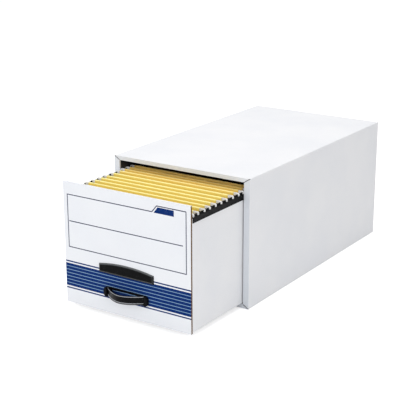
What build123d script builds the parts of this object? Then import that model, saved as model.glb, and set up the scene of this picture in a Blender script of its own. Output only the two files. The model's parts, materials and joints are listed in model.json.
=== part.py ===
"""File box with one drawer: a board case with steel side frames, and a drawer with hanging folders.

Millimetres. X runs across the box, its front faces -Y and +Z is up. The origin is the centre of the
case's base. The drawer stands open by DRAWER_OPEN, with the folders hanging on its two rails.
"""
from build123d import *
import os

# ------------------------------------------------------------------ case
CASE_W = 355.6            # outside width, 14 in
CASE_D = 619.0            # outside depth; 25.5 in with the handle when the drawer is shut
CASE_H = 292.1            # outside height, 11.5 in
CASE_BOARD = 4.2          # corrugated board of the case
FRAME_SIDE = 14.2         # face width of the front frame at the sides
FRAME_ENDS = 9.2          # face width of the front frame at top and bottom
MITRE_W = 1.5             # width of the crease along each mitred corner
MITRE_DEPTH = 2.8         # depth of that crease
CASE_EDGE_R = 1.6         # rounding of the case's long folded edges

# ------------------------------------------------------------------ steel side frames
STEEL = 0.9               # sheet thickness
STEEL_DEPTH = 9.2         # depth of the channel, from the case's wall inwards
UPRIGHT_W = 45.0          # width of the front and rear uprights
RAIL_H = 30.0             # height of the top and bottom members
STEEL_LIP = 6.0           # stiffening lip round the ring's window
RUNNER_W = 13.8           # how far the runner reaches under the drawer
RUNNER_TOP = 10.4         # height that the drawer slides on
RUNNER_SETBACK = 6.0      # runner's front end behind the front frame
STEEL_CORNER_R = 8.0      # corner radius of the ring's window

# ------------------------------------------------------------------ drawer
DRAWER_OPEN = 195.3       # how far the drawer stands open
FRONT_GAP_X = 0.9         # clearance of the front panel in the frame, each side
FRONT_GAP_Z = 0.8         # the same at top and bottom
FRONT_T = 4.6             # front panel thickness
INNER_FRONT_T = 2.4       # folded wall behind the front panel
WALL_T = 4.8              # side walls, bottom and back
SIDE_GAP = 2.0            # file rail to the steel side frame
SLIDE_GAP = 0.3           # drawer bottom above the runners
WALL_BELOW_FRONT = 27.1   # side walls' top edge below the front panel's
BACK_GAP = 0.5            # drawer's back to the case's back panel when shut
EAR_LEN = 45.0            # stop ear on each side wall, along the drawer
EAR_FROM_BACK = 44.5      # plain wall behind the ear
EAR_CLEAR = 1.6           # ear's top below the case's ceiling
BLANK_EDGE_R = 1.4        # rounding of the blank's folded edges

# ------------------------------------------------------------------ file rails
RAIL_T = 1.6              # wall of the rail section
OUTER_SKIRT_H = 10.5      # outer skirt, below the side wall's top edge
INNER_SKIRT_H = 7.5       # inner skirt, the same
SKIRT_SETBACK = 4.0       # skirts start this far behind the front panel
RIB_T = 2.0               # standing rib that the folders hang on
RIB_H = 5.5               # rib's top above the side wall
RAIL_END_GAP = 0.5        # rail's rear end to the stop ear

# ------------------------------------------------------------------ handle
HANDLE_W = 114.0          # base plate, overall width
HANDLE_UP = 48.2          # base plate's mid height above the front panel's lower edge
HANDLE_BASE_H = 22.8
HANDLE_BASE_T = 1.8
WINDOW_RIM = 4.2          # base plate left above and below its window, behind the grip
WINDOW_TO_PRONG = 2.5     # base plate left between the window and each prong
WINDOW_CORNER_R = 4.0
BOSS_W = 8.5              # raised end block
BOSS_T = 7.0              # its height above the panel
GRIP_UP = 1.4             # grip's mid height above the base plate's
GRIP_H = 18.2
GRIP_T = 3.0
GRIP_END_X = 5.5          # grip's ends inside the end blocks' outer faces
GRIP_BOW = 27.0           # outermost point of the grip in front of the panel
GRIP_BEAD = 0.7           # bead along the grip's upper and lower edges
GRIP_BEAD_H = 2.2
PRONG_W = 7.0
PRONG_H = 10.0
PRONG_X = 44.0            # prongs from the centre plane
RETAINER_T = 2.4
RETAINER_MARGIN = 2.0     # retainer smaller than the base plate by this, all round
FIT_GAP = 0.1             # parts pushed into each other

# ------------------------------------------------------------------ name plate
PLATE_W = 142.0
PLATE_UP = 88.0           # lower edge above the front panel's
PLATE_END_H = 19.5        # height at its ends
PLATE_MID_H = 26.5        # height at the centre of the arch
PLATE_T = 2.6
PLATE_BEVEL = 2.0
PEG_R = 2.0
PEG_X = 55.0

# ------------------------------------------------------------------ folders
FOLDER_OFFSETS = (11.3, 28.3, 51.2, 70.4, 91.8, 112.6, 133.0, 156.8, 179.2, 197.6, 215.6, 233.2)
POCKET_GAP_X = 6.8        # pocket to side wall; makes it 298.4 wide, 11.75 in
POCKET_GAP_Z = 9.5        # pocket's fold above the drawer's floor
PAPER = 0.6               # leaf thickness
ROD_PAST_RIB = 3.6        # rod's end past the rib's centre; makes it 324 long, 12.75 in
ROD_T = 1.0
ROD_H = 5.5
ROD_OVER_RIB = 2.5        # rod stands above the notch ceiling
HOOK_GAP = 0.3            # rod above the rib, in the notch
NOTCH_W = 3.6             # notch that drops over the rib
TIP_DROP = 0.8            # hook's tip below the rod
ROD_PLAY = 0.1            # rod inside its hem
HEM_GAP = 0.4             # between a folder's two hems

# ------------------------------------------------------------------ derived values
FRONT_Y = -CASE_D / 2                             # plane of the case's front
REAR_Y = CASE_D / 2
OPEN_X = CASE_W / 2 - FRAME_SIDE                  # half width of the opening
OPEN_Z0 = FRAME_ENDS
OPEN_Z1 = CASE_H - FRAME_ENDS
CEILING = CASE_H - CASE_BOARD
WALL_IN = CASE_W / 2 - CASE_BOARD                 # inner face of the case's side walls
PANEL_X = OPEN_X - FRONT_GAP_X
PANEL_Z0 = OPEN_Z0 + FRONT_GAP_Z
PANEL_Z1 = OPEN_Z1 - FRONT_GAP_Z
PANEL_Y = FRONT_Y - DRAWER_OPEN                   # front face of the drawer's front
BODY_Y0 = PANEL_Y + FRONT_T                       # the folded blank starts here
BODY_Y1 = REAR_Y - CASE_BOARD - BACK_GAP - DRAWER_OPEN
BODY_Z0 = RUNNER_TOP + SLIDE_GAP
STEEL_WEB_X = WALL_IN - STEEL_DEPTH
SIDE_OUT = STEEL_WEB_X - SIDE_GAP - RAIL_T        # outer face of the drawer's side walls
SIDE_IN = SIDE_OUT - WALL_T
WALL_TOP = PANEL_Z1 - WALL_BELOW_FRONT
EAR_Y0 = BODY_Y1 - EAR_FROM_BACK - EAR_LEN
EAR_TOP = CEILING - EAR_CLEAR
RIB_X = (SIDE_IN + SIDE_OUT) / 2                  # centre of the rib, over the side wall
RIB_TOP = WALL_TOP + RIB_H
RAIL_Y1 = EAR_Y0 - RAIL_END_GAP
HANDLE_Z = PANEL_Z0 + HANDLE_UP
GRIP_Z = HANDLE_Z + GRIP_UP
WINDOW_X = PRONG_X - PRONG_W / 2 - WINDOW_TO_PRONG  # half width of the base plate's window
WINDOW_Z = HANDLE_BASE_H / 2 - WINDOW_RIM           # half height of it
PLATE_Z = PANEL_Z0 + PLATE_UP
NOTCH_Z = RIB_TOP + HOOK_GAP
ROD_Z1 = NOTCH_Z + ROD_OVER_RIB
ROD_Z0 = ROD_Z1 - ROD_H
HEM_T = ROD_T + 2 * ROD_PLAY + 2 * PAPER          # outer thickness of one hem
HEM_Z1 = ROD_Z1 + ROD_PLAY + PAPER
HEM_Z0 = ROD_Z0 - ROD_PLAY - PAPER
FOLDER_T = 2 * HEM_T + HEM_GAP
POCKET_X = SIDE_IN - POCKET_GAP_X                 # half width of a pocket
POCKET_Z0 = BODY_Z0 + WALL_T + POCKET_GAP_Z


def block(x0, x1, y0, y1, z0, z1):
    """Box between two corners."""
    return Pos((x0 + x1) / 2, (y0 + y1) / 2, (z0 + z1) / 2) * Box(x1 - x0, y1 - y0, z1 - z0)


def edges_along(shape, axis, test):
    """Edges of the shape that run along an axis and pass the test on their mid point."""
    return [e for e in shape.edges().filter_by(axis) if test(e.center())]


def prism_y(points, y0, y1):
    """Profile given as (x, z) points, pushed along Y from y0 to y1."""
    face = make_face(Polyline(*[(x, 0, z) for x, z in points], close=True))
    return Pos(0, y0, 0) * extrude(face, amount=y1 - y0, dir=(0, 1, 0))


def mirrored(shape):
    """The same piece for the other side."""
    return mirror(shape, about=Plane.YZ)


# ------------------------------------------------------------------ case
def make_case_shell():
    shell = block(-CASE_W / 2, CASE_W / 2, FRONT_Y, REAR_Y, 0, CASE_H)
    shell -= block(-WALL_IN, WALL_IN, FRONT_Y + CASE_BOARD, REAR_Y + 1, CASE_BOARD, CEILING)
    shell -= block(-OPEN_X, OPEN_X, FRONT_Y - 1, FRONT_Y + CASE_BOARD + 1, OPEN_Z0, OPEN_Z1)
    outer = edges_along(
        shell, Axis.Y, lambda c: abs(c.X) > CASE_W / 2 - 0.1 and (c.Z < 0.1 or c.Z > CASE_H - 0.1)
    )
    shell = fillet(outer, CASE_EDGE_R)
    for sx in (-1, 1):
        for top in (False, True):
            corner = Vector(sx * CASE_W / 2, FRONT_Y, CASE_H if top else 0)
            inner = Vector(sx * OPEN_X, FRONT_Y, OPEN_Z1 if top else OPEN_Z0)
            along = (inner - corner).normalized()
            side = Vector(-along.Z, 0, along.X) * (MITRE_W / 2)
            start = corner + along * 2.0
            end = inner + along * 1.0
            wire = Polyline(start + side, end + side, end - side, start - side, close=True)
            groove = extrude(make_face(wire), amount=MITRE_DEPTH * 2, both=True, dir=(0, 1, 0))
            keep = block(-CASE_W, CASE_W, FRONT_Y - 1, FRONT_Y + MITRE_DEPTH, -1, CASE_H + 1)
            shell -= groove & keep
    return shell


def make_case_back_panel():
    return block(-WALL_IN, WALL_IN, REAR_Y - CASE_BOARD, REAR_Y, CASE_BOARD, CEILING)


def make_right_side_frame():
    y0 = FRONT_Y + CASE_BOARD
    y1 = REAR_Y - CASE_BOARD
    z0 = CASE_BOARD
    z1 = CEILING
    x0 = STEEL_WEB_X
    ring = block(x0, WALL_IN, y0, y1, z0, z1)
    ring -= block(x0 + STEEL, WALL_IN + 1, y0 + STEEL, y1 - STEEL, z0 + STEEL, z1 - STEEL)
    wy0 = y0 + UPRIGHT_W
    wy1 = y1 - UPRIGHT_W
    wz0 = z0 + RAIL_H
    wz1 = z1 - RAIL_H
    lip = block(x0, x0 + STEEL_LIP, wy0 - STEEL, wy1 + STEEL, wz0 - STEEL, wz1 + STEEL)
    lip = fillet(lip.edges().filter_by(Axis.X), STEEL_CORNER_R + STEEL)
    window = block(x0 - 1, x0 + STEEL_LIP + 1, wy0, wy1, wz0, wz1)
    window = fillet(window.edges().filter_by(Axis.X), STEEL_CORNER_R)
    frame = ring + lip - window
    run_y0 = y0 + RUNNER_SETBACK
    run_x0 = SIDE_OUT - RUNNER_W
    frame += block(run_x0, x0 + STEEL, run_y0, y1, RUNNER_TOP - STEEL, RUNNER_TOP)
    frame += block(run_x0, run_x0 + STEEL, run_y0, y1, CASE_BOARD, RUNNER_TOP)
    return frame


# ------------------------------------------------------------------ drawer
def handle_base_outline(margin):
    """Rounded outline of the handle's base plate in the XZ plane, taken in by a margin."""
    height = HANDLE_BASE_H - 2 * margin
    width = HANDLE_W - 2 * margin
    return Plane.XZ * Pos(0, HANDLE_Z, 0) * RectangleRounded(width, height, height / 2 - 3)


def prong_blocks(gap, y0, y1):
    """The two prongs, or their holes when the gap is more than 0."""
    w = PRONG_W / 2 + gap
    h = PRONG_H / 2 + gap
    return [block(s * PRONG_X - w, s * PRONG_X + w, y0, y1, HANDLE_Z - h, HANDLE_Z + h)
            for s in (-1, 1)]


def peg_rods(gap, y0, y1):
    """The name plate's two pegs, or their holes when the gap is more than 0."""
    z = PLATE_Z + PLATE_END_H / 2
    rod = Rot(-90, 0, 0) * Cylinder(PEG_R + gap, y1 - y0)
    return [Pos(s * PEG_X, (y0 + y1) / 2, z) * rod for s in (-1, 1)]


def make_drawer_front_panel():
    panel = block(-PANEL_X, PANEL_X, PANEL_Y, BODY_Y0, PANEL_Z0, PANEL_Z1)
    for hole in prong_blocks(FIT_GAP, PANEL_Y - 1, BODY_Y0 + 1):
        panel -= hole
    for hole in peg_rods(FIT_GAP, PANEL_Y - 1, BODY_Y0 + 1):
        panel -= hole
    return panel


def make_drawer_body():
    body = block(-SIDE_OUT, SIDE_OUT, BODY_Y0, BODY_Y1, BODY_Z0, WALL_TOP)
    body = fillet(edges_along(body, Axis.Y, lambda c: c.Z < BODY_Z0 + 0.1), BLANK_EDGE_R)
    body -= block(-SIDE_IN, SIDE_IN, BODY_Y0 + INNER_FRONT_T, BODY_Y1 - WALL_T,
                  BODY_Z0 + WALL_T, WALL_TOP + 1)
    for s in (-1, 1):
        inner, outer = sorted((s * SIDE_IN, s * SIDE_OUT))
        ear = block(inner, outer, EAR_Y0, EAR_Y0 + EAR_LEN, WALL_TOP - 1, EAR_TOP)
        top_corners = edges_along(ear, Axis.X, lambda c: c.Z > EAR_TOP - 0.1)
        ear = fillet(top_corners, (EAR_TOP - WALL_TOP) * 0.2)
        body += ear
    cut = extrude(handle_base_outline(RETAINER_MARGIN - FIT_GAP), amount=40, both=True)
    reach = block(-SIDE_IN, SIDE_IN, BODY_Y0 - 1, BODY_Y0 + INNER_FRONT_T + 1, 0, CASE_H)
    body -= Pos(0, BODY_Y0, 0) * cut & reach
    return body


def make_right_file_rail():
    out_x = SIDE_OUT + RAIL_T
    in_x = SIDE_IN - RAIL_T
    web_z = WALL_TOP + RAIL_T
    skirt_y0 = BODY_Y0 + SKIRT_SETBACK
    rail = block(in_x, out_x, BODY_Y0, RAIL_Y1, WALL_TOP, web_z)
    rail += block(SIDE_OUT, out_x, skirt_y0, RAIL_Y1, WALL_TOP - OUTER_SKIRT_H, web_z)
    rail += block(in_x, SIDE_IN, skirt_y0, RAIL_Y1, WALL_TOP - INNER_SKIRT_H, web_z)
    rib = block(RIB_X - RIB_T / 2, RIB_X + RIB_T / 2, BODY_Y0, RAIL_Y1, WALL_TOP, RIB_TOP)
    rib = fillet(edges_along(rib, Axis.Y, lambda c: c.Z > RIB_TOP - 0.1), RIB_T * 0.3)
    rail += rib
    corners = edges_along(rail, Axis.Y, lambda c: abs(c.X - out_x) < 0.1 and c.Z > web_z - 0.1)
    return fillet(corners, RAIL_T * 0.5)


# ------------------------------------------------------------------ handle and name plate
def grip_arc(inset):
    """The bow of the grip in the XY plane from one end block to the other, taken in by an inset."""
    half_w = HANDLE_W / 2 - GRIP_END_X - inset
    bow = GRIP_BOW - inset
    shape = ((1.0, 0.0), (0.88, 0.21), (0.70, 0.47), (0.48, 0.73), (0.24, 0.92))
    points = [(-x * half_w, PANEL_Y - d * bow, 0) for x, d in shape]
    points.append((0, PANEL_Y - bow, 0))
    points += [(x * half_w, PANEL_Y - d * bow, 0) for x, d in reversed(shape)]
    return Spline(*points)


def bowed_band(height, outer_inset, inner_inset):
    """Band of the given height between two bows, centred on the grip's mid height."""
    outer = grip_arc(outer_inset)
    inner = grip_arc(inner_inset)
    ends = Line(outer @ 0, inner @ 0) + Line(outer @ 1, inner @ 1)
    face = make_face(outer + inner + ends)
    return Pos(0, 0, GRIP_Z - height / 2) * extrude(face, amount=height, dir=(0, 0, 1))


def make_handle():
    outline = handle_base_outline(0)
    base = Pos(0, PANEL_Y, 0) * extrude(outline, amount=HANDLE_BASE_T, dir=(0, -1, 0))
    front = PANEL_Y - BOSS_T
    tall = Pos(0, PANEL_Y, 0) * extrude(outline, amount=BOSS_T, dir=(0, -1, 0))
    rim = [e for e in tall.edges() if abs(e.center().Y - front) < 0.01]
    tall = fillet(rim, 2.5)
    boss_x = HANDLE_W / 2 - BOSS_W
    middle = block(-boss_x, boss_x, front - 1, PANEL_Y + 1, 0, CASE_H)
    window = block(-WINDOW_X, WINDOW_X, front - 1, PANEL_Y + 1, HANDLE_Z - WINDOW_Z,
                   HANDLE_Z + WINDOW_Z)
    window = fillet(window.edges().filter_by(Axis.Y), WINDOW_CORNER_R)
    handle = (base - window) + (tall - middle)
    grip = bowed_band(GRIP_H, 0, GRIP_T + GRIP_BEAD)
    grip -= bowed_band(GRIP_H - 2 * GRIP_BEAD_H, -3.0, GRIP_BEAD)
    grip -= block(-HANDLE_W, HANDLE_W, PANEL_Y - HANDLE_BASE_T / 2, PANEL_Y + GRIP_BOW, 0, CASE_H)
    handle += grip
    for prong in prong_blocks(0, PANEL_Y - HANDLE_BASE_T / 2, BODY_Y0 + RETAINER_T):
        handle += prong
    return handle


def make_handle_retainer():
    plate = Pos(0, BODY_Y0, 0) * extrude(
        handle_base_outline(RETAINER_MARGIN), amount=RETAINER_T, dir=(0, 1, 0))
    for hole in prong_blocks(FIT_GAP, BODY_Y0 - 1, BODY_Y0 + RETAINER_T + 1):
        plate -= hole
    return plate


def make_name_plate():
    half = PLATE_W / 2
    y = PANEL_Y - PLATE_T
    low_l = (-half, y, PLATE_Z)
    low_r = (half, y, PLATE_Z)
    end_l = (-half, y, PLATE_Z + PLATE_END_H)
    end_r = (half, y, PLATE_Z + PLATE_END_H)
    mid = (0, y, PLATE_Z + PLATE_MID_H)
    wire = Polyline(end_l, low_l, low_r, end_r) + ThreePointArc(end_l, mid, end_r)
    plate = extrude(make_face(wire), amount=PLATE_T, dir=(0, 1, 0))
    rim = [e for e in plate.edges() if abs(e.center().Y - y) < 0.01]
    plate = chamfer(rim, PLATE_BEVEL)
    for peg in peg_rods(0, PANEL_Y - PLATE_T / 2, BODY_Y0):
        plate += peg
    return plate


# ------------------------------------------------------------------ folders
def make_folder_pocket(y):
    """Two leaves with a folded bottom, and a hem along each leaf's top round its rod."""
    half = POCKET_X
    front = y - FOLDER_T / 2
    back = y + FOLDER_T / 2
    bottom = POCKET_Z0
    bend = FOLDER_T / 2 - 0.05
    outer = block(-half, half, front, back, bottom, HEM_Z1 - 2.0)
    outer = fillet(edges_along(outer, Axis.X, lambda c: c.Z < bottom + 0.1), bend)
    inner = block(-half - 1, half + 1, front + PAPER, back - PAPER, bottom + PAPER, HEM_Z1 + 1)
    inner = fillet(edges_along(inner, Axis.X, lambda c: c.Z < bottom + 1), bend - PAPER)
    pocket = outer - inner
    for y0 in (front, back - HEM_T):
        hem = block(-half, half, y0, y0 + HEM_T, HEM_Z0, HEM_Z1)
        hem = fillet(edges_along(hem, Axis.X, lambda c: c.Z > HEM_Z1 - 0.1), HEM_T * 0.4)
        wall = PAPER
        hem -= block(-half - 1, half + 1, y0 + wall, y0 + HEM_T - wall, HEM_Z0 + wall, HEM_Z1 - wall)
        pocket += hem
    return pocket


def make_folder_rods(y):
    """The folder's two flat rods, each with a notched hook at both ends."""
    half = RIB_X + ROD_PAST_RIB
    n0 = RIB_X - NOTCH_W / 2
    n1 = RIB_X + NOTCH_W / 2
    tip = ROD_Z0 - TIP_DROP
    right = [(0, ROD_Z0), (n0, ROD_Z0), (n0, NOTCH_Z), (n1, NOTCH_Z), (n1, tip), (half, tip),
             (half, ROD_Z1 - 2.0), (half - 2.0, ROD_Z1), (0, ROD_Z1)]
    left = [(-x, z) for x, z in reversed(right[1:-1])]
    rods = []
    for s in (-1, 1):
        mid = y + s * (HEM_GAP + HEM_T) / 2
        rods.append(prism_y(right + left, mid - ROD_T / 2, mid + ROD_T / 2))
    return Compound(rods)


# ------------------------------------------------------------------ parts
right_side_frame = make_right_side_frame()
right_file_rail = make_right_file_rail()
parts = {
    "case_shell": make_case_shell(),
    "case_back_panel": make_case_back_panel(),
    "left_side_frame": mirrored(right_side_frame),
    "right_side_frame": right_side_frame,
    "drawer_front_panel": make_drawer_front_panel(),
    "drawer_body": make_drawer_body(),
    "left_file_rail": mirrored(right_file_rail),
    "right_file_rail": right_file_rail,
    "handle": make_handle(),
    "handle_retainer": make_handle_retainer(),
    "name_plate": make_name_plate(),
}
for number, offset in enumerate(FOLDER_OFFSETS, start=1):
    parts[f"folder_{number:02d}_pocket"] = make_folder_pocket(PANEL_Y + offset)
    parts[f"folder_{number:02d}_rods"] = make_folder_rods(PANEL_Y + offset)

os.makedirs("parts", exist_ok=True)
for name, shape in parts.items():
    export_step(shape, f"parts/{name}.step")
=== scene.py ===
"""Looks for a file box with one drawer: white printed board, steel side frames and yellow folders.

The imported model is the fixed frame. Each operator dresses one group of pieces and gives it its
material, and the last one sets up the floor, the lamps and the camera. Metres throughout.
"""

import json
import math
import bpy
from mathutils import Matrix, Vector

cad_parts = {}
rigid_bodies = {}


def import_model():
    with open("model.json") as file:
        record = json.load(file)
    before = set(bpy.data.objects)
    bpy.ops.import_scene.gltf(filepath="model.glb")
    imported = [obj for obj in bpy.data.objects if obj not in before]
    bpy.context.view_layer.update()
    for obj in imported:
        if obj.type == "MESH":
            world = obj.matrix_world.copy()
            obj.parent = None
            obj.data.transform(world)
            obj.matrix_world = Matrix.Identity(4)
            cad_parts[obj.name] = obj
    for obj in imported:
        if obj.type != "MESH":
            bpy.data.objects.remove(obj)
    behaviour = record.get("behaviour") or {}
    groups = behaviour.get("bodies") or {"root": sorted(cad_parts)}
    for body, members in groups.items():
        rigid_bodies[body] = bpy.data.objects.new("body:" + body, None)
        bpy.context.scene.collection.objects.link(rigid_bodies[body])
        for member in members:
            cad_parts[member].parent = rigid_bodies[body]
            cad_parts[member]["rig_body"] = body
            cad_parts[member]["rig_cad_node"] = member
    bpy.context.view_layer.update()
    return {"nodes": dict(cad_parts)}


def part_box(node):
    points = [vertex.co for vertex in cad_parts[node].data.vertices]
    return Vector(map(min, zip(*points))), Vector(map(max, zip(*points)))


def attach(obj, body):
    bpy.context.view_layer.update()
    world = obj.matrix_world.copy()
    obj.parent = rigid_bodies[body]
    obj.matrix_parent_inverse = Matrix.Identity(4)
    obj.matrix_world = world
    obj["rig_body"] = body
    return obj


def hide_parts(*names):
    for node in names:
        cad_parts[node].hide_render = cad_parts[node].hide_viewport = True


bl_info = {
    "name": "File Box Looks",
    "version": (1, 0, 0),
    "blender": (4, 5, 0),
    "location": "3D View > Sidebar > File Box",
    "description": "Dresses a file storage box with a drawer of hanging folders",
    "category": "Object",
}

import bpy
from bpy.props import FloatProperty, FloatVectorProperty, PointerProperty
from mathutils import Vector

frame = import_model()
NODES = frame["nodes"]
FOLDERS = sorted(name.removesuffix("_pocket") for name in NODES if name.endswith("_pocket"))

PANEL_LOW, PANEL_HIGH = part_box("drawer_front_panel")
CASE_LOW, CASE_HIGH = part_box("case_shell")
BODY_LOW, BODY_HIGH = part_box("drawer_body")
HANDLE_LOW, HANDLE_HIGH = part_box("handle")
PLATE_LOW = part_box("name_plate")[0]

MM = 0.001
CASE_MIDDLE = (CASE_LOW.z + CASE_HIGH.z) / 2
CASE_BOARD = 4.2 * MM         # thickness of the case's board
CASE_KRAFT_FROM = Vector((3.9, 4.1, 4.0)) * MM    # raw brown starts this far inside the faces
REAR_EDGE = 0.2 * MM          # depth of the cut edge at the rear that the mask takes in
SIDE_WALL_FROM = 4.4 * MM     # rear edge closer than this to a side belongs to the side wall
FRAME_SIDE = 14.2 * MM        # face width of the front frame at the sides
FRAME_ENDS = 9.2 * MM         # face width of the front frame at top and bottom
FRAME_FACE = 1.0 * MM         # depth behind the case's front that counts as its face
FRAME_SHADE = 0.8              # share of the cool grey painted as shade on the front frame's face
FRONT_COOL = 0.35             # share of the same cool grey mixed all over the drawer front's liner as a faint tint
STEEL_EDGE = 0.25 * MM        # rounding of the side frames' edges
MITRE_HALF = 0.8 * MM         # half width of the painted shadow lines in the corner joints
MITRE_DEPTH = 3.2 * MM        # how far they reach behind the front
BACK_KRAFT_FROM = 3.0 * MM    # raw brown of the rear panel starts this far inside

DRAWER_EDGE = 0.6             # rounding of the drawer's edges, as a share of the case's
DRAWER_WALL = 4.8 * MM        # thickness of the drawer's walls
DRAWER_KRAFT_SIDE = 4.6 * MM  # raw brown starts this far inside the drawer's sides and bottom
DRAWER_KRAFT_FRONT = 1.0 * MM
DRAWER_KRAFT_BACK = 4.5 * MM
WALL_TOPS_FROM = 250 * MM     # height from which an upward face is the top of a wall

GRIP_MIDDLE = (HANDLE_LOW.z + HANDLE_HIGH.z) / 2 + 1.4 * MM
GRIP_HALF = 9.1 * MM
BEAD_OUT = 2.5 * MM           # the painted highlight lines take faces from this far in front of the panel
BEAD_HALF_L = 47 * MM         # half length of the painted highlight lines
BEAD_UP = 0.8 * MM            # their middle above the grip's
BEAD_INNER, BEAD_OUTER = 2.6 * MM, 1.1 * MM    # their edges, in from the grip's edges
PLATE_RIM_FACE = 0.25 * MM    # depth behind the plate's front that counts as its rim
PLATE_EDGE = 0.2 * MM         # rounding of the plate's edges
PLATE_STEP = 0.4 * MM         # width of the slope from the rim down to the field

HEM_T = 2.4 * MM              # thickness of a folder's hem
HEM_L = 6.9 * MM              # from a folder's top to the end of its hem
TOP_LIGHT_FROM = 3.0 * MM          # painted highlight starts this far below a folder's top, with painted shade below it
TOP_LIGHT_RUN = 2.6 * MM           # and reaches its full strength over this height
SHADED_FROM = 42 * MM         # painted shade starts this far in front of the case
SHADED_RUN = 56 * MM          # and reaches its full strength over this length
SHADED_MOST = 0.58


# ------------------------------------------------------------------ settings
def colour_property(name, description, value):
    """Colour setting with full alpha."""
    return FloatVectorProperty(
        name=name, description=description, subtype="COLOR", size=4, min=0.0, max=1.0,
        default=(*value, 1.0),
    )


class BoxColours(bpy.types.PropertyGroup):
    """Colours of the box's finishes."""

    board: colour_property("Board", "White liner of the board", (0.845, 0.85, 0.87))
    board_cool: colour_property("Board shade", "Cooler patches of the white liner", (0.81, 0.82, 0.85))
    # Cool darker grey: painted shade on the case's front frame, and a faint tint all over the drawer's
    # front
    cool_shade_and_tint: colour_property(
        "Front frame", "Cooler liner of the case's front frame", (0.70, 0.735, 0.79))
    # Painted shadow in the open joints at the front frame's corners
    joint_shadow: colour_property("Mitre", "Joint lines at the front frame's corners", (0.10, 0.10, 0.11))
    kraft: colour_property("Kraft", "Raw brown inside of the board", (0.30, 0.185, 0.095))
    kraft_streak: colour_property(
        "Kraft streaks", "Darker streaks of the raw brown", (0.27, 0.16, 0.08))
    # Painted shade in the flute hollows of a cut edge
    flute_hollow_shade: colour_property("Kraft core", "Dark core at a cut edge", (0.045, 0.018, 0.010))
    ink: colour_property("Band ink", "Blue of the printed band", (0.0, 0.022, 0.135))
    ink_pale: colour_property("Pale ink", "Pale lines between the band's stripes", (0.20, 0.33, 0.50))
    ink_line: colour_property("Rule ink", "Slate blue of the printed rules", (0.014, 0.019, 0.068))
    steel: colour_property("Steel paint", "Dark grey paint of the side frames", (0.030, 0.031, 0.034))
    scuff: colour_property("Steel scuffs", "Paler scuffs on the steel paint", (0.11, 0.11, 0.115))
    rail: colour_property("Rail", "Black of the file rails", (0.007, 0.0072, 0.008))
    grip: colour_property("Handle", "Black of the handle", (0.0045, 0.0045, 0.0055))
    # Painted highlight: grey lines that stand in for the gloss on the handle's beads
    grip_highlight: colour_property("Handle edge", "Rubbed grey of the handle's beads", (0.34, 0.35, 0.37))
    plate: colour_property("Plate", "Black of the name plate", (0.0022, 0.0022, 0.0026))
    # Painted highlight on the name plate's rim and its upward bevel
    plate_highlight: colour_property("Plate edge", "Satin grey of the plate's rim", (0.12, 0.125, 0.13))
    card: colour_property("Folder card", "Yellow of the folders", (0.96, 0.80, 0.23))
    card_deep: colour_property("Folder card, deep", "Warmer patches of the card", (0.92, 0.70, 0.16))
    # Painted shade in the gaps between the folders, below their tops
    card_gap_shade: colour_property("Folder card, low", "Card below its folded tops", (0.93, 0.71, 0.145))
    # Painted highlight along the folders' tops
    card_top_highlight: colour_property(
        "Folder card, top", "Rubbed card along its folded tops", (0.98, 0.90, 0.38))
    # Painted shade on the folders at and under the case's front edge
    card_shaded: colour_property(
        "Folder card, shaded", "Deeper card of the folders at and under the case's front edge",
        (0.90, 0.50, 0.075))
    card_fibre: colour_property("Card fibres", "Pale fibres in the card", (1.0, 0.82, 0.36))
    rod: colour_property("Rod", "White coating of the folder rods", (0.96, 0.96, 0.955))
    rod_rub: colour_property("Rod rub", "Grey rub marks on the rods' coating", (0.34, 0.34, 0.35))
    floor: colour_property("Floor", "Pale floor", (0.92, 0.92, 0.92))
    light: colour_property("Light", "White of the floor's lift and of the even light", (1.0, 1.0, 1.0))


class BoxSizes(bpy.types.PropertyGroup):
    """Sizes that shape the added detail."""

    board_edge: FloatProperty(
        name="Board edge", description="Rounding of the case's folded edges", default=0.9 * MM,
        min=0.0, max=3 * MM, unit="LENGTH")
    trim_edge: FloatProperty(
        name="Trim edge", description="Rounding of the moulded and folded small parts",
        default=0.35 * MM, min=0.0, max=1 * MM, unit="LENGTH")
    card_thickness: FloatProperty(
        name="Card thickness", description="Thickness of the folder card", default=0.55 * MM,
        min=0.1 * MM, max=1 * MM, unit="LENGTH")
    card_wave: FloatProperty(
        name="Card wave", description="How far the folders' leaves bow out of flat",
        default=0.35 * MM, min=0.0, max=0.6 * MM, unit="LENGTH")
    plate_rim: FloatProperty(
        name="Plate rim", description="Width of the rim round the name plate's field",
        default=1.3 * MM, min=0.5 * MM, max=4 * MM, unit="LENGTH")
    plate_sink: FloatProperty(
        name="Plate sink", description="How far the name plate's field lies below its rim",
        default=0.5 * MM, min=0.1 * MM, max=1 * MM, unit="LENGTH")
    flute_pitch: FloatProperty(
        name="Flute pitch", description="Spacing of the flutes in the board", default=7.3 * MM,
        min=1 * MM, max=12 * MM, unit="LENGTH")


class StageSettings(bpy.types.PropertyGroup):
    """Camera and lamps."""

    lens: FloatProperty(
        name="Lens", description="Camera lens", default=94.79, min=10.0, max=300.0, unit="CAMERA")
    yaw: FloatProperty(
        name="Yaw", description="Camera's turn to the left", default=0.583, subtype="ANGLE")
    pitch: FloatProperty(
        name="Pitch", description="Camera's tilt downwards", default=0.31, subtype="ANGLE")
    place: FloatVectorProperty(
        name="Place", description="Camera's place", default=(1.32096, -2.19308, 0.93056),
        subtype="TRANSLATION")
    key: FloatProperty(name="Key", description="Power of the front lamp", default=23.0, unit="POWER")
    top: FloatProperty(name="Top", description="Power of the top lamp", default=33.0, unit="POWER")
    side: FloatProperty(
        name="Side", description="Power of the side lamp", default=12.0, unit="POWER")
    lift: FloatProperty(
        name="Floor lift", description="How far the floor is lifted to white where it is seen",
        default=0.5)
    sky: FloatProperty(name="Sky", description="Strength of the even light all round", default=0.55)


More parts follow.
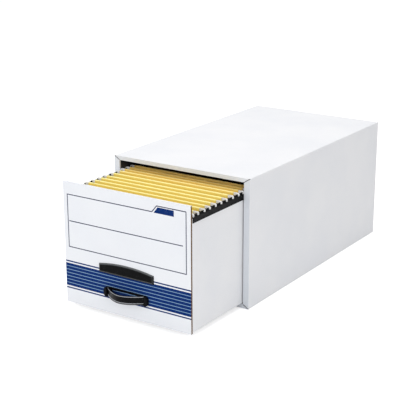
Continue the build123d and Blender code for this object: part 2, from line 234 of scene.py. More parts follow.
# ------------------------------------------------------------------ shader helpers
def start_material(name, roughness, specular=0.4):
    """New material with one Principled shader, and that shader and its tree."""
    material = bpy.data.materials.new(name)
    material.use_nodes = True
    tree = material.node_tree
    shader = tree.nodes["Principled BSDF"]
    shader.inputs["Roughness"].default_value = roughness
    shader.inputs["Specular IOR Level"].default_value = specular
    return material, tree, shader


def put(tree, socket, value):
    """Joins a value or another node's output to an input."""
    if isinstance(value, bpy.types.NodeSocket):
        tree.links.new(value, socket)
    else:
        socket.default_value = value


def calc(tree, operation, a, b=0.0, c=0.0):
    """Math node."""
    node = tree.nodes.new("ShaderNodeMath")
    node.operation = operation
    for socket, value in zip(node.inputs, (a, b, c)):
        put(tree, socket, value)
    return node.outputs[0]


def mix(tree, factor, a, b):
    """Mix of two colours."""
    node = tree.nodes.new("ShaderNodeMix")
    node.data_type = "RGBA"
    put(tree, node.inputs["Factor"], factor)
    put(tree, node.inputs["A"], a)
    put(tree, node.inputs["B"], b)
    return node.outputs["Result"]


def place_xyz(tree):
    """The point on the piece: its vector, then x, y and z."""
    coordinate = tree.nodes.new("ShaderNodeTexCoord")
    split = tree.nodes.new("ShaderNodeSeparateXYZ")
    tree.links.new(coordinate.outputs["Object"], split.inputs[0])
    return coordinate.outputs["Object"], *split.outputs


def facing_xyz(tree):
    """The way the surface faces, as outputs named X, Y and Z."""
    coordinate = tree.nodes.new("ShaderNodeTexCoord")
    split = tree.nodes.new("ShaderNodeSeparateXYZ")
    tree.links.new(coordinate.outputs["Normal"], split.inputs[0])
    return split.outputs


def noise(tree, vector, scale, detail=3.0, stretch=(1, 1, 1), low=0.35, high=0.65):
    """Noise spread between 0 and 1."""
    mapping = tree.nodes.new("ShaderNodeMapping")
    mapping.inputs["Scale"].default_value = stretch
    texture = tree.nodes.new("ShaderNodeTexNoise")
    texture.inputs["Scale"].default_value = scale
    texture.inputs["Detail"].default_value = detail
    ranged = tree.nodes.new("ShaderNodeMapRange")
    ranged.inputs["From Min"].default_value = low
    ranged.inputs["From Max"].default_value = high
    tree.links.new(vector, mapping.inputs["Vector"])
    tree.links.new(mapping.outputs[0], texture.inputs["Vector"])
    tree.links.new(texture.outputs["Fac"], ranged.inputs["Value"])
    return ranged.outputs["Result"]


def spread(tree, factor, low, high):
    """Factor from 0 to 1 spread between two numbers."""
    node = tree.nodes.new("ShaderNodeMapRange")
    put(tree, node.inputs["Value"], factor)
    node.inputs["To Min"].default_value = low
    node.inputs["To Max"].default_value = high
    return node.outputs["Result"]


def bump(tree, height, distance, strength=1.0, under=None):
    """Bump from a height, in metres at full height, on top of another bump."""
    node = tree.nodes.new("ShaderNodeBump")
    node.inputs["Distance"].default_value = distance
    node.inputs["Strength"].default_value = strength
    tree.links.new(height, node.inputs["Height"])
    if under is not None:
        tree.links.new(under, node.inputs["Normal"])
    return node.outputs["Normal"]


def between(tree, value, low, high):
    """1 where the value lies between two numbers."""
    return calc(tree, "COMPARE", value, (low + high) / 2, (high - low) / 2)


def ramp(tree, value, start, run):
    """0 up to a start, then rising to 1 over a run."""
    rise = calc(tree, "DIVIDE", calc(tree, "SUBTRACT", value, start), run)
    return calc(tree, "MINIMUM", calc(tree, "MAXIMUM", rise, 0.0), 1.0)


def both(tree, *masks):
    """Product of masks."""
    result = masks[0]
    for mask in masks[1:]:
        result = calc(tree, "MULTIPLY", result, mask)
    return result


def either(tree, *masks):
    """Greatest of masks."""
    result = masks[0]
    for mask in masks[1:]:
        result = calc(tree, "MAXIMUM", result, mask)
    return result


# ------------------------------------------------------------------ board
def flutes(tree, along):
    """Soft waves of the flutes across an axis, from 0 to 1."""
    pitch = bpy.context.scene.box_sizes.flute_pitch
    turn = calc(tree, "MULTIPLY", along, 2 * math.pi / pitch)
    return calc(tree, "MULTIPLY_ADD", calc(tree, "SINE", turn), 0.5, 0.5)


def white_liner(tree, vector, colours):
    """Colour of the white liner, with faint cool patches and fibre specks."""
    patches = noise(tree, vector, scale=9.0, detail=4.0)
    specks = noise(tree, vector, scale=900.0, detail=2.0, stretch=(1, 1, 0.35), low=0.62, high=0.75)
    base = mix(tree, patches, colours.board, colours.board_cool)
    return mix(tree, calc(tree, "MULTIPLY", specks, 0.10), base, colours.kraft)


def kraft_liner(tree, vector, colours):
    """Colour of the raw brown side of the board."""
    streaks = noise(tree, vector, scale=160.0, detail=4.0, stretch=(1, 1, 0.15))
    return mix(tree, streaks, colours.kraft, colours.kraft_streak)


# Shares of half the board's thickness at a cut edge
LINER_FROM = 0.72      # the liners start this far from the middle
WAVE_SWING = 0.65      # the fluted sheet swings this far to both sides
WAVE_HALF_T = 0.22     # half the thickness that it shows


def cut_edge(tree, across, along, middle, thickness, colours):
    """Colour of a cut edge: two liners and the wavy sheet in raw brown, painted shade in the hollows
    between them.
    """
    half = thickness / 2
    away = calc(tree, "SUBTRACT", across, middle)
    liner = calc(tree, "GREATER_THAN", calc(tree, "ABSOLUTE", away), half * LINER_FROM)
    wave = calc(tree, "SUBTRACT", calc(tree, "MULTIPLY", flutes(tree, along), 2 * half * WAVE_SWING),
                half * WAVE_SWING)
    offset = calc(tree, "SUBTRACT", away, wave)
    medium = calc(tree, "LESS_THAN", calc(tree, "ABSOLUTE", offset), half * WAVE_HALF_T)
    # Painted shade wherever neither liner nor wavy sheet is
    return mix(tree, either(tree, liner, medium), colours.flute_hollow_shade, colours.kraft)


def finish_board(tree, shader, colour, vector, wave):
    """Joins the colour, the paper's sheen and its bumps to the shader."""
    put(tree, shader.inputs["Base Color"], colour)
    put(tree, shader.inputs["Roughness"], spread(tree, noise(tree, vector, scale=60.0), 0.50, 0.62))
    fibres = noise(tree, vector, scale=1400.0, stretch=(1, 1, 0.4))
    fibre_bump = bump(tree, fibres, distance=0.03 * MM, strength=0.5)
    put(tree, shader.inputs["Normal"],
        bump(tree, wave, distance=0.04 * MM, strength=0.6, under=fibre_bump))


def case_material():
    """White board outside, raw brown inside, the cut edge round the rear, and painted shade on the
    front frame and in its corner joints.
    """
    colours = bpy.context.scene.box_colours
    material, tree, shader = start_material("case board", 0.55, 0.22)
    vector, x, y, z = place_xyz(tree)
    low, high = CASE_LOW + CASE_KRAFT_FROM, CASE_HIGH - CASE_KRAFT_FROM
    inside = both(tree, between(tree, x, low.x, high.x), between(tree, z, low.z, high.z),
                  calc(tree, "GREATER_THAN", y, low.y))
    colour = mix(tree, inside, white_liner(tree, vector, colours), kraft_liner(tree, vector, colours))
    across = calc(tree, "ABSOLUTE", x)
    rise = calc(tree, "ABSOLUTE", calc(tree, "SUBTRACT", z, CASE_MIDDLE))
    upright = cut_edge(tree, across, z, CASE_HIGH.x - CASE_BOARD / 2, CASE_BOARD, colours)
    level = cut_edge(tree, rise, x, CASE_MIDDLE - CASE_BOARD / 2, CASE_BOARD, colours)
    side = calc(tree, "GREATER_THAN", across, CASE_HIGH.x - SIDE_WALL_FROM)
    rear = calc(tree, "GREATER_THAN", y, CASE_HIGH.y - REAR_EDGE)
    colour = mix(tree, rear, colour, mix(tree, side, level, upright))
    # Painted shade: the front frame's forward faces are mixed towards the cool grey
    front = both(tree, calc(tree, "LESS_THAN", facing_xyz(tree)["Y"], -0.6),
                 calc(tree, "LESS_THAN", y, CASE_LOW.y + FRAME_FACE))
    colour = mix(tree, calc(tree, "MULTIPLY", front, FRAME_SHADE), colour, colours.cool_shade_and_tint)
    # Painted shadow along the corner joints
    colour = mix(tree, mitre_shadow(tree, x, y, z), colour, colours.joint_shadow)
    finish_board(tree, shader, colour, vector, flutes(tree, y))
    return material


def mitre_shadow(tree, x, y, z):
    """Mask of the painted shadow in the open joints at the opening's four corners."""
    run = calc(tree, "SUBTRACT", calc(tree, "ABSOLUTE", x), CASE_HIGH.x - FRAME_SIDE)
    rise = calc(tree, "SUBTRACT", calc(tree, "ABSOLUTE", calc(tree, "SUBTRACT", z, CASE_MIDDLE)),
                CASE_MIDDLE - FRAME_ENDS)
    length = math.hypot(FRAME_SIDE, FRAME_ENDS)
    off = calc(tree, "SUBTRACT", calc(tree, "MULTIPLY", run, FRAME_ENDS / length),
               calc(tree, "MULTIPLY", rise, FRAME_SIDE / length))
    return both(tree, between(tree, off, -MITRE_HALF, MITRE_HALF),
                calc(tree, "GREATER_THAN", run, 0.0), calc(tree, "GREATER_THAN", rise, 0.0),
                calc(tree, "LESS_THAN", y, CASE_LOW.y + MITRE_DEPTH))


def back_material():
    """White board of the rear panel."""
    colours = bpy.context.scene.box_colours
    material, tree, shader = start_material("back board", 0.55, 0.3)
    vector, x, y, _ = place_xyz(tree)
    inside = calc(tree, "LESS_THAN", y, CASE_HIGH.y - BACK_KRAFT_FROM)
    colour = mix(tree, inside, white_liner(tree, vector, colours), kraft_liner(tree, vector, colours))
    finish_board(tree, shader, colour, vector, flutes(tree, x))
    return material


def drawer_material():
    """White board outside, raw brown inside, and cut edges along the walls' tops."""
    colours = bpy.context.scene.box_colours
    material, tree, shader = start_material("drawer board", 0.55, 0.3)
    vector, x, y, z = place_xyz(tree)
    inside = both(
        tree, between(tree, x, BODY_LOW.x + DRAWER_KRAFT_SIDE, BODY_HIGH.x - DRAWER_KRAFT_SIDE),
        calc(tree, "GREATER_THAN", z, BODY_LOW.z + DRAWER_KRAFT_SIDE),
        between(tree, y, BODY_LOW.y + DRAWER_KRAFT_FRONT, BODY_HIGH.y - DRAWER_KRAFT_BACK))
    colour = mix(tree, inside, white_liner(tree, vector, colours), kraft_liner(tree, vector, colours))
    upward = both(tree, calc(tree, "GREATER_THAN", facing_xyz(tree)["Z"], 0.6),
                  calc(tree, "GREATER_THAN", z, WALL_TOPS_FROM))
    wall = cut_edge(tree, calc(tree, "ABSOLUTE", x), y, BODY_HIGH.x - DRAWER_WALL / 2, DRAWER_WALL,
                    colours)
    colour = mix(tree, upward, colour, wall)
    finish_board(tree, shader, colour, vector, flutes(tree, y))
    return material


# ------------------------------------------------------------------ printed front
RULES = (
    # x0, x1, z0, z1 of each printed rule, in mm from the panel's centre and the floor
    (-152.3, -150.3, 137.4, 255.8),
    (-152.3, 152.5, 137.4, 139.4),
    (150.5, 152.5, 137.4, 268.6),
    (-152.3, 69.0, 253.8, 255.8),
    (80.0, 151.8, 267.8, 269.8),
    (-148.6, 143.6, 195.5, 197.5),
)
SLANT = (68.7, 254.8, 80.4, 268.9)    # x0, z0, x1, z1 of the slanting rule
TAB = (77.8, 122.4, 253.5, 266.2)     # blue tab inside the raised corner
TAB_LEAN = 10.0                       # how far the tab's left end leans
BAND = (48.75, 100.45)                # low and high edge of the striped band
STRIPES = 7
STRIPE_GAP = 1.5                      # pale line between two stripes
THIN_STRIPES = ((103.5, 106.6), (42.7, 45.7))    # above and below the band
RULE_W = 2.0                          # width of the slanting rule


def printed_masks(tree, x, z):
    """Masks of the slate rules, of the blue ink and of the pale lines in the band."""
    rules = [both(tree, between(tree, x, x0 * MM, x1 * MM), between(tree, z, z0 * MM, z1 * MM))
             for x0, x1, z0, z1 in RULES]
    x0, z0, x1, z1 = SLANT
    length = math.hypot(x1 - x0, z1 - z0)
    ux, uz = (x1 - x0) / length, (z1 - z0) / length
    dx = calc(tree, "SUBTRACT", x, x0 * MM)
    dz = calc(tree, "SUBTRACT", z, z0 * MM)
    run = calc(tree, "ADD", calc(tree, "MULTIPLY", dx, ux), calc(tree, "MULTIPLY", dz, uz))
    off = calc(tree, "SUBTRACT", calc(tree, "MULTIPLY", dz, ux), calc(tree, "MULTIPLY", dx, uz))
    rules.append(both(tree, between(tree, run, 0.0, length * MM),
                      between(tree, off, -RULE_W / 2 * MM, RULE_W / 2 * MM)))
    x0, x1, z0, z1 = TAB
    lean = calc(tree, "MULTIPLY_ADD", calc(tree, "SUBTRACT", z, z0 * MM), TAB_LEAN / (z1 - z0),
                (x0 - TAB_LEAN / 2) * MM)
    tab = both(tree, calc(tree, "GREATER_THAN", x, lean), calc(tree, "LESS_THAN", x, x1 * MM),
               between(tree, z, z0 * MM, z1 * MM))
    low, high = BAND
    pitch = (high - low + STRIPE_GAP) / STRIPES
    step = calc(tree, "FRACT", calc(tree, "DIVIDE", calc(tree, "SUBTRACT", z, low * MM), pitch * MM))
    stripe = both(tree, between(tree, z, low * MM, high * MM),
                  calc(tree, "LESS_THAN", step, (pitch - STRIPE_GAP) / pitch))
    thin = [between(tree, z, z0 * MM, z1 * MM) for z0, z1 in THIN_STRIPES]
    pale = calc(tree, "SUBTRACT", between(tree, z, low * MM, high * MM), stripe)
    return either(tree, *rules), either(tree, tab, stripe, *thin), pale


def front_material():
    """White liner with the printed rules and band, and raw cut edges at both sides."""
    colours = bpy.context.scene.box_colours
    material, tree, shader = start_material("printed front board", 0.5, 0.05)
    vector, x, y, z = place_xyz(tree)
    facing = facing_xyz(tree)
    rules, band, pale = printed_masks(tree, x, z)
    front = calc(tree, "LESS_THAN", facing["Y"], -0.5)
    worn = noise(tree, vector, scale=700.0, detail=2.0, low=0.25, high=0.45)
    colour = mix(tree, FRONT_COOL, white_liner(tree, vector, colours), colours.cool_shade_and_tint)
    band_ink = mix(tree, spread(tree, worn, 0.05, 0.0), colours.ink, colours.board)
    rule_ink = mix(tree, spread(tree, worn, 0.08, 0.0), colours.ink_line, colours.board)
    colour = mix(tree, both(tree, front, pale), colour, colours.ink_pale)
    colour = mix(tree, both(tree, front, band), colour, band_ink)
    colour = mix(tree, both(tree, front, rules), colour, rule_ink)
    side = calc(tree, "GREATER_THAN", calc(tree, "ABSOLUTE", facing["X"]), 0.6)
    middle = (PANEL_LOW.y + PANEL_HIGH.y) / 2
    edge = cut_edge(tree, y, z, middle, PANEL_HIGH.y - PANEL_LOW.y, colours)
    colour = mix(tree, side, colour, edge)
    finish_board(tree, shader, colour, vector, flutes(tree, x))
    return material


# ------------------------------------------------------------------ other finishes
def steel_material():
    """Dark grey paint with fine orange peel and a few scuffs."""
    colours = bpy.context.scene.box_colours
    material, tree, shader = start_material("side frame paint", 0.42)
    vector = place_xyz(tree)[0]
    scuffs = noise(tree, vector, scale=35.0, detail=6.0, stretch=(1, 1, 0.2), low=0.60, high=0.72)
    put(tree, shader.inputs["Base Color"],
        mix(tree, calc(tree, "MULTIPLY", scuffs, 0.35), colours.steel, colours.scuff))
    put(tree, shader.inputs["Roughness"], spread(tree, noise(tree, vector, scale=90.0), 0.36, 0.50))
    peel = noise(tree, vector, scale=700.0, detail=2.0)
    put(tree, shader.inputs["Normal"], bump(tree, peel, distance=0.03 * MM, strength=0.5))
    return material


def black_material(name, colour, low, high, grain, depth, streak=(1, 1, 1), rim=None, highlight_colour=None):
    """Black moulded finish with a fine grain, faint scuffs, uneven gloss and perhaps a painted
    highlight over a given mask.
    """
    material, tree, shader = start_material(name, (low + high) / 2, 0.05)
    vector, x, y, z = place_xyz(tree)
    scuffs = noise(tree, vector, scale=60.0, detail=6.0, stretch=streak, low=0.58, high=0.74)
    lighter = tuple(min(1.0, c * 3.2 + 0.006) for c in colour[:3]) + (1.0,)
    shade = mix(tree, calc(tree, "MULTIPLY", scuffs, 0.5), colour, lighter)
    # Painted highlight where a mask is given
    if rim is not None:
        shade = mix(tree, rim(tree, x, y, z), shade, highlight_colour)
    put(tree, shader.inputs["Base Color"], shade)
    put(tree, shader.inputs["Roughness"], spread(tree, noise(tree, vector, scale=110.0), low, high))
    grains = noise(tree, vector, scale=grain, detail=2.0)
    put(tree, shader.inputs["Normal"], bump(tree, grains, distance=depth, strength=0.5))
    return material


def card_material():
    """Smooth yellow card with fibres, warm patches and a soft sheen, a painted highlight along the
    folded tops, and painted shade below them and on the folders under the case's front edge.
    """
    colours = bpy.context.scene.box_colours
    material, tree, shader = start_material("folder card", 0.5, 0.35)
    vector, _, y, z = place_xyz(tree)
    patches = noise(tree, vector, scale=14.0, detail=4.0, stretch=(1, 3, 1))
    fibres = noise(tree, vector, scale=420.0, detail=4.0, stretch=(0.25, 1, 1), low=0.42, high=0.70)
    colour = mix(tree, patches, colours.card, colours.card_deep)
    colour = mix(tree, calc(tree, "MULTIPLY", fibres, 0.16), colour, colours.card_fibre)
    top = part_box(f"{FOLDERS[0]}_pocket")[1].z
    # Painted highlight along the top of each folder, painted shade below it
    fold = ramp(tree, z, top - TOP_LIGHT_FROM, TOP_LIGHT_RUN)
    colour = mix(tree, fold, colours.card_gap_shade, mix(tree, fold, colour, colours.card_top_highlight))
    # Painted shade on the folders that reach in under the case's front edge
    shaded = ramp(tree, y, CASE_LOW.y - SHADED_FROM, SHADED_RUN)
    colour = mix(tree, calc(tree, "MULTIPLY", shaded, SHADED_MOST), colour, colours.card_shaded)
    put(tree, shader.inputs["Base Color"], colour)
    put(tree, shader.inputs["Roughness"], spread(tree, noise(tree, vector, scale=50.0), 0.42, 0.56))
    grain = noise(tree, vector, scale=1100.0, stretch=(0.3, 1, 1))
    put(tree, shader.inputs["Normal"], bump(tree, grain, distance=0.03 * MM, strength=0.6))
    return material


def rod_material():
    """White coating with scattered grey rub marks."""
    colours = bpy.context.scene.box_colours
    material, tree, shader = start_material("rod coating", 0.35, 0.5)
    vector = place_xyz(tree)[0]
    rub = noise(tree, vector, scale=240.0, detail=4.0, stretch=(0.4, 1, 1), low=0.55, high=0.75)
    put(tree, shader.inputs["Base Color"],
        mix(tree, calc(tree, "MULTIPLY", rub, 0.12), colours.rod, colours.rod_rub))
    put(tree, shader.inputs["Roughness"], spread(tree, rub, 0.30, 0.48))
    grain = noise(tree, vector, scale=900.0)
    put(tree, shader.inputs["Normal"], bump(tree, grain, distance=0.02 * MM, strength=0.4))
    return material


def bead_highlight(tree, x, y, z):
    """Mask of the two painted highlight lines along the grip's beads, between the end blocks."""
    away = calc(tree, "ABSOLUTE", calc(tree, "SUBTRACT", z, GRIP_MIDDLE + BEAD_UP))
    return both(tree, calc(tree, "LESS_THAN", y, PANEL_LOW.y - BEAD_OUT),
                between(tree, x, -BEAD_HALF_L, BEAD_HALF_L),
                between(tree, away, GRIP_HALF - BEAD_INNER, GRIP_HALF - BEAD_OUTER))


def plate_rim(tree, _x, y, _z):
    """Mask of the painted highlight: part strength on the plate's rim, which stands furthest forward,
    full strength on its upward bevel along the arch.
    """
    front = calc(tree, "LESS_THAN", y, PLATE_LOW.y + PLATE_RIM_FACE)
    bevel = calc(tree, "GREATER_THAN", facing_xyz(tree)["Z"], 0.4)
    return either(tree, calc(tree, "MULTIPLY", front, 0.4), bevel)


# ------------------------------------------------------------------ mesh helpers
MERGE_WITHIN = 0.004 * MM            # corners of a copy closer than this are one
FLAT_WITHIN = math.radians(0.4)      # triangles that turn less than this are one face
SMOOTH_WITHIN = math.radians(50)     # edges that turn less than this look smooth
CARD_SMOOTH_WITHIN = math.radians(60)


def only(piece):
    """Makes the piece the one selected and active object."""
    bpy.ops.object.select_all(action="DESELECT")
    piece.select_set(True)
    bpy.context.view_layer.objects.active = piece


def rename(piece, name):
    """Names the piece and its mesh."""
    piece.name = name
    piece.data.name = name
    return piece


def pick(piece, kind, wanted):
    """Opens the piece for editing with only the wanted vertices or faces selected."""
    only(piece)
    bpy.ops.object.mode_set(mode="EDIT")
    bpy.ops.mesh.select_mode(type=kind)
    bpy.ops.mesh.select_all(action="DESELECT")
    bpy.ops.object.mode_set(mode="OBJECT")
    elements = piece.data.vertices if kind == "VERT" else piece.data.polygons
    chosen = [element for element in elements if wanted(element)]
    if not chosen:
        raise RuntimeError(f"nothing to select on {piece.name}")
    for element in chosen:
        element.select = True
    bpy.ops.object.mode_set(mode="EDIT")


def wear(piece, material):
    """Gives the piece this one material."""
    piece.data.materials.clear()
    piece.data.materials.append(material)


def copy_of(node, name):
    """A separate copy of a CAD node with its loose triangles joined to whole faces."""
    only(NODES[node])
    bpy.ops.object.duplicate()
    piece = rename(bpy.context.active_object, name)
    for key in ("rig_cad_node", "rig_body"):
        if key in piece:
            del piece[key]
    bpy.ops.object.mode_set(mode="EDIT")
    bpy.ops.mesh.select_all(action="SELECT")
    bpy.ops.mesh.remove_doubles(threshold=MERGE_WITHIN)
    bpy.ops.mesh.dissolve_limited(angle_limit=FLAT_WITHIN)
    bpy.ops.mesh.normals_make_consistent(inside=False)
    bpy.ops.object.mode_set(mode="OBJECT")
    return piece


def soften(piece, width, segments=3, angle=40):
    """Rounds the piece's sharp edges and shades it smooth between them."""
    only(piece)
    edges = piece.modifiers.new("edges", "BEVEL")
    edges.width = width
    edges.segments = segments
    edges.limit_method = "ANGLE"
    edges.angle_limit = math.radians(angle)
    edges.use_clamp_overlap = True
    bpy.ops.object.modifier_apply(modifier=edges.name)
    bpy.ops.object.shade_smooth_by_angle(angle=SMOOTH_WITHIN)
    weighted = piece.modifiers.new("normals", "WEIGHTED_NORMAL")
    weighted.keep_sharp = True
    bpy.ops.object.modifier_apply(modifier=weighted.name)
    return piece


def dress(node, name, body, width, material, segments=3, angle=40):
    """Rounded copy of a CAD node that stands in its place."""
    piece = soften(copy_of(node, name), width, segments, angle)
    wear(piece, material)
    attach(piece, body)
    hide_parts(node)
    return piece


# ------------------------------------------------------------------ operators
class MakeCase(bpy.types.Operator):
    """Board case and its rear panel"""

    bl_idname = "file_box.make_case"
    bl_label = "Case"

    def execute(self, context):
        edge = context.scene.box_sizes.board_edge
        dress("case_shell", "case_board", "case", edge, case_material(), 3, 50)
        dress("case_back_panel", "case_back", "case", edge, back_material())
        return {"FINISHED"}


class MakeSideFrames(bpy.types.Operator):
    """Steel side frames with their runners"""

    bl_idname = "file_box.make_side_frames"
    bl_label = "Side frames"

    def execute(self, context):
        material = steel_material()
        for side in ("left", "right"):
            dress(f"{side}_side_frame", f"{side}_steel_ring", "case", STEEL_EDGE, material,
                  2)
        return {"FINISHED"}


class MakeDrawer(bpy.types.Operator):
    """Drawer's board body and printed front"""

    bl_idname = "file_box.make_drawer"
    bl_label = "Drawer"

    def execute(self, context):
        edge = context.scene.box_sizes.board_edge * DRAWER_EDGE
        dress("drawer_body", "drawer_blank", "drawer", edge, drawer_material())
        dress("drawer_front_panel", "drawer_front", "drawer", edge, front_material())
        return {"FINISHED"}


class MakeRails(bpy.types.Operator):
    """Black file rails on the side walls"""

    bl_idname = "file_box.make_rails"
    bl_label = "File rails"

    def execute(self, context):
        colours = context.scene.box_colours
        material = black_material("file rail black", tuple(colours.rail), low=0.34, high=0.5,
                                  grain=1300.0, depth=0.03 * MM, streak=(1, 0.1, 1))
        for side in ("left", "right"):
            dress(f"{side}_file_rail", f"{side}_rail_cap", "drawer",
                  context.scene.box_sizes.trim_edge, material, 2)
        return {"FINISHED"}


class MakeHandle(bpy.types.Operator):
    """Handle, its retainer and the bare name plate"""

    bl_idname = "file_box.make_handle"
    bl_label = "Handle and name plate"

    def execute(self, context):
        colours = context.scene.box_colours
        trim = context.scene.box_sizes.trim_edge
        grip = black_material("handle black", tuple(colours.grip), low=0.16, high=0.28, grain=900.0,
                              depth=0.02 * MM, rim=bead_highlight, highlight_colour=tuple(colours.grip_highlight))
        plate = black_material("name plate black", tuple(colours.plate), low=0.26, high=0.36,
                               grain=1500.0, depth=0.02 * MM, rim=plate_rim,
                               highlight_colour=tuple(colours.plate_highlight))
        hidden = black_material("retainer black", tuple(colours.rail), low=0.45, high=0.6,
                                grain=800.0, depth=0.03 * MM)
        dress("handle", "pull_handle", "drawer", trim, grip, 3)
        dress("handle_retainer", "pull_retainer", "drawer", trim, hidden, 2)
        self.make_plate(plate, context.scene.box_sizes)
        return {"FINISHED"}

    def make_plate(self, material, sizes):
        """Name plate with a rim that stands round its bare field."""
        piece = copy_of("name_plate", "bare_plate")
        front = PLATE_LOW.y + 0.05 * MM
        pick(piece, "FACE", lambda face: face.center.y < front and face.normal.y < -0.9)
        bpy.ops.mesh.inset(thickness=sizes.plate_rim, depth=0.0)
        bpy.ops.mesh.inset(thickness=PLATE_STEP, depth=-sizes.plate_sink)
        bpy.ops.object.mode_set(mode="OBJECT")
        soften(piece, PLATE_EDGE, segments=2, angle=20)
        wear(piece, material)
        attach(piece, "drawer")
        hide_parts("name_plate")


def folder_profile(low, high, sheet):
    """Centre line of the card in the YZ plane: hem, leaf, fold, leaf, hem."""
    middle = (low.y + high.y) / 2
    half = (high.y - low.y) / 2 - sheet / 2
    top = high.z - sheet / 2
    bottom = low.z + sheet / 2
    hem = HEM_T - sheet
    hem_low = high.z - HEM_L
    near = half - hem
    bend = hem / 2
    points = [(near, hem_low), (near, (hem_low + top) / 2), (near, top - bend)]
    for turn in (45, 90, 135):
        angle = math.radians(turn)
        points.append((near + bend - bend * math.cos(angle), top - bend + bend * math.sin(angle)))
    points.append((half, top - bend))
    for step in range(1, 10):
        points.append((half, top - bend + (bottom + half - top + bend) * step / 9))
    for turn in (30, 60):
        angle = math.radians(turn)
        points.append((half * math.cos(angle), bottom + half - half * math.sin(angle)))
    front = [(middle - y, z) for y, z in points]
    fold = [(middle, bottom)]
    back = [(middle + y, z) for y, z in reversed(points)]
    return front + fold + back


CARD_COLUMNS = 24          # columns of faces across a folder's card
BOW_FROM = 0.05            # share of a folder's depth from its top that stays straight
BOW_CLOUDS = 0.12          # size of the texture that bows the leaves, in metres


def model_pocket(name, low, high, sizes):
    """One folder's card: a strip drawn along its profile and thickened."""
    profile = folder_profile(low, high, sizes.card_thickness)
    y0, z0 = profile[0]
    bpy.ops.object.select_all(action="DESELECT")
    bpy.ops.mesh.primitive_grid_add(
        x_subdivisions=CARD_COLUMNS, y_subdivisions=1, size=high.x - low.x, location=(0, y0, z0))
    piece = rename(bpy.context.active_object, name)
    bpy.ops.object.transform_apply(location=True, rotation=True, scale=True)
    pick(piece, "VERT", lambda vertex: vertex.co.y > y0)
    bpy.ops.mesh.delete(type="VERT")
    bpy.ops.mesh.select_all(action="SELECT")
    bpy.ops.transform.translate(value=(0, (high.x - low.x) / 2, 0))
    bpy.ops.mesh.select_mode(type="EDGE")
    bpy.ops.mesh.select_all(action="SELECT")
    for (ya, za), (yb, zb) in zip(profile, profile[1:]):
        bpy.ops.mesh.extrude_region_move(TRANSFORM_OT_translate={"value": (0, yb - ya, zb - za)})
    bpy.ops.mesh.select_all(action="SELECT")
    bpy.ops.mesh.normals_make_consistent(inside=False)
    bpy.ops.object.mode_set(mode="OBJECT")
    thick = piece.modifiers.new("card", "SOLIDIFY")
    thick.thickness = sizes.card_thickness
    thick.offset = 0.0
    bpy.ops.object.modifier_apply(modifier=thick.name)
    bpy.ops.object.shade_smooth_by_angle(angle=CARD_SMOOTH_WITHIN)
    return piece


def copy_pocket(first, name, shift):
    """The same folder again, further back."""
    only(first)
    bpy.ops.object.duplicate()
    piece = rename(bpy.context.active_object, name)
    bpy.ops.object.mode_set(mode="EDIT")
    bpy.ops.mesh.select_all(action="SELECT")
    bpy.ops.transform.translate(value=(0, shift, 0))
    bpy.ops.object.mode_set(mode="OBJECT")
    return piece


def bow_leaves(piece, low, high, wave):
    """Bows the hanging leaves out of flat, a little differently at each folder's place."""
    leaves = piece.vertex_groups.new(name="leaves")
    depth = high.z - low.z
    for vertex in piece.data.vertices:
        down = (high.z - vertex.co.z) / depth
        leaves.add([vertex.index], max(0.0, min(1.0, 4 * (down - BOW_FROM) * (1 - down))), "REPLACE")
    clouds = bpy.data.textures.new("leaf bow", "CLOUDS")
    clouds.noise_scale = BOW_CLOUDS
    only(piece)
    bend = piece.modifiers.new("bow", "DISPLACE")
    bend.texture = clouds
    bend.texture_coords = "LOCAL"
    bend.direction = "Y"
    bend.mid_level = 0.5
    bend.strength = 2 * wave
    bend.vertex_group = leaves.name
    bpy.ops.object.modifier_apply(modifier=bend.name)
    piece.vertex_groups.clear()


class MakeFolders(bpy.types.Operator):
    """Yellow hanging folders and their white hook rods"""

    bl_idname = "file_box.make_folders"
    bl_label = "Folders"

    def execute(self, context):
        sizes = context.scene.box_sizes
        card = card_material()
        rod = rod_material()
        start_low, start_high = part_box(f"{FOLDERS[0]}_pocket")
        first = model_pocket("folder_pattern", start_low, start_high, sizes)
        for folder in FOLDERS:
            low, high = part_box(f"{folder}_pocket")
            piece = copy_pocket(first, f"{folder}_card", low.y - start_low.y)
            bow_leaves(piece, low, high, sizes.card_wave)
            wear(piece, card)
            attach(piece, folder)
            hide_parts(f"{folder}_pocket")
            wear(NODES[f"{folder}_rods"], rod)
        bpy.data.objects.remove(first)
        return {"FINISHED"}


def seen_ray(tree):
    """1 for the rays that show a background: camera, glossy and transmission rays."""
    path = tree.nodes.new("ShaderNodeLightPath")
    return either(tree, path.outputs["Is Camera Ray"], path.outputs["Is Glossy Ray"],
                  path.outputs["Is Transmission Ray"])


def add_lamp(name, place, aim, size, power):
    """Square area lamp that faces a point."""
    bpy.ops.object.select_all(action="DESELECT")
    bpy.ops.object.light_add(type="AREA", location=place)
    lamp = bpy.context.active_object
    lamp.name = name
    lamp.data.shape = "SQUARE"
    lamp.data.size = size
    lamp.data.energy = power
    lamp.rotation_euler = (Vector(aim) - Vector(place)).to_track_quat("-Z", "Y").to_euler()


FLOOR_SIZE = 14.0
FLOOR_DROP = 0.5 * MM            # floor below the box's base
SENSOR_W = 36.0                  # camera's sensor, in mm
VIEW_REACH = 50.0                # how far the camera sees
LAMPS = (
    # name, place, the point that it faces, and size; its power is the setting of the same name
    ("key", (-0.9, -2.9, 0.95), (0, -0.15, 0.15), 1.8),
    ("top", (0.0, -0.1, 2.6), (0, -0.15, 0.15), 2.2),
    ("side", (2.2, -2.1, 1.2), (0, -0.35, 0.15), 1.3),
)


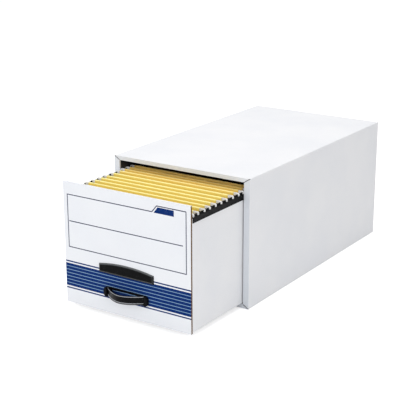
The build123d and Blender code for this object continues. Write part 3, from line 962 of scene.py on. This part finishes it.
class MakeStage(bpy.types.Operator):
    """Pale floor, soft lamps and the camera"""

    bl_idname = "file_box.make_stage"
    bl_label = "Stage"

    def execute(self, context):
        stage = context.scene.box_stage
        colours = context.scene.box_colours
        bpy.ops.object.select_all(action="DESELECT")
        bpy.ops.mesh.primitive_plane_add(size=FLOOR_SIZE, location=(0, 0, -FLOOR_DROP))
        floor = rename(bpy.context.active_object, "floor")
        material, tree, shader = start_material("floor white", 0.9, 0.1)
        shader.inputs["Base Color"].default_value = colours.floor
        shader.inputs["Emission Color"].default_value = colours.light
        put(tree, shader.inputs["Emission Strength"], spread(tree, seen_ray(tree), 0.0, stage.lift))
        wear(floor, material)
        for name, place, aim, size in LAMPS:
            add_lamp(name, place, aim, size, getattr(stage, name))
        world = bpy.data.worlds.new("even light")
        context.scene.world = world
        world.use_nodes = True
        sky = world.node_tree
        light = sky.nodes["Background"]
        light.inputs["Color"].default_value = colours.light
        put(sky, light.inputs["Strength"], spread(sky, seen_ray(sky), stage.sky, 1.0))
        camera_data = bpy.data.cameras.new("camera")
        camera = bpy.data.objects.new("camera", camera_data)
        context.scene.collection.objects.link(camera)
        camera.location = stage.place
        camera.rotation_euler = (math.pi / 2 - stage.pitch, 0.0, stage.yaw)
        camera_data.lens = stage.lens
        camera_data.sensor_width = SENSOR_W
        camera_data.clip_end = VIEW_REACH
        context.scene.camera = camera
        context.scene.view_settings.view_transform = "Standard"
        return {"FINISHED"}


class BoxPanel(bpy.types.Panel):
    """Buttons that make each group"""

    bl_idname = "VIEW3D_PT_file_box"
    bl_label = "File Box"
    bl_space_type = "VIEW_3D"
    bl_region_type = "UI"
    bl_category = "File Box"

    def draw(self, context):
        for operator in OPERATORS:
            self.layout.operator(operator.bl_idname)
        for group in (context.scene.box_sizes, context.scene.box_colours, context.scene.box_stage):
            for name in group.__annotations__:
                self.layout.prop(group, name)


OPERATORS = (MakeCase, MakeSideFrames, MakeDrawer, MakeRails, MakeHandle, MakeFolders, MakeStage)
GROUPS = (BoxColours, BoxSizes, StageSettings)


def register():
    """Adds the settings, the operators and the panel."""
    for cls in (*GROUPS, *OPERATORS, BoxPanel):
        bpy.utils.register_class(cls)
    bpy.types.Scene.box_colours = PointerProperty(type=BoxColours)
    bpy.types.Scene.box_sizes = PointerProperty(type=BoxSizes)
    bpy.types.Scene.box_stage = PointerProperty(type=StageSettings)


def unregister():
    """Takes them away again."""
    del bpy.types.Scene.box_stage
    del bpy.types.Scene.box_sizes
    del bpy.types.Scene.box_colours
    for cls in reversed((*GROUPS, *OPERATORS, BoxPanel)):
        bpy.utils.unregister_class(cls)


def main():
    """Makes the whole scene."""
    register()
    bpy.ops.file_box.make_stage()
    bpy.ops.file_box.make_case()
    bpy.ops.file_box.make_side_frames()
    bpy.ops.file_box.make_drawer()
    bpy.ops.file_box.make_rails()
    bpy.ops.file_box.make_handle()
    bpy.ops.file_box.make_folders()


if __name__ == "__main__":
    main()
